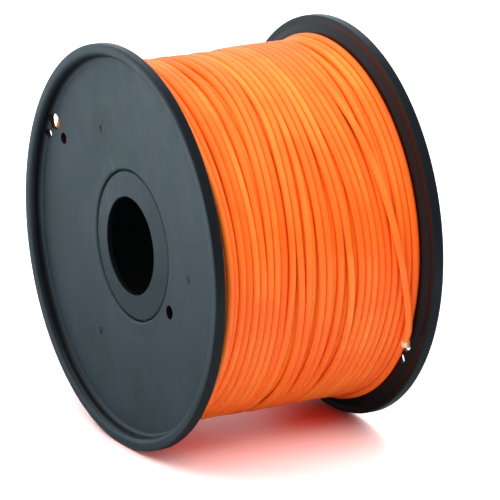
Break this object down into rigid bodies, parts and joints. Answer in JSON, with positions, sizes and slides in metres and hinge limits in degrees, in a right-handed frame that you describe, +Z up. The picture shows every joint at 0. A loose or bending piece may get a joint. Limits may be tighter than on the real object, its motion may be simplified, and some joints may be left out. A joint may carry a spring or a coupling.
{
  "type": "filament spool",
  "caption": "Wide filament spool with two dished flanges on a hollow barrel, a bore for a spindle, and a full winding whose end is tucked through a flange hole.",
  "frame": {"origin": "on the spindle's axis, half way between the two flanges", "axes": "+X along the spool's axis towards the flange that holds the loose end, +Z up with the spool standing on its rims, -Y towards the side on which the loose end comes down to its hole"},
  "size_m": [0.1036, 0.165, 0.165],
  "materials": {
    "flange_plastic": "fine matt moulding, slightly shiny on the rim",
    "hub_plastic": "fine matt moulding",
    "barrel_plastic": "plain matt",
    "filament": "drawn plastic strand with a soft sheen"
  },
  "bodies": {
    "root": {"left_flange": "flange_plastic", "right_flange": "flange_plastic", "barrel": "barrel_plastic", "left_hub_end": "hub_plastic", "right_hub_end": "hub_plastic", "filament_pack": "filament", "filament_turns": "filament", "filament_tail": "filament"}
  },
  "joints": []
}
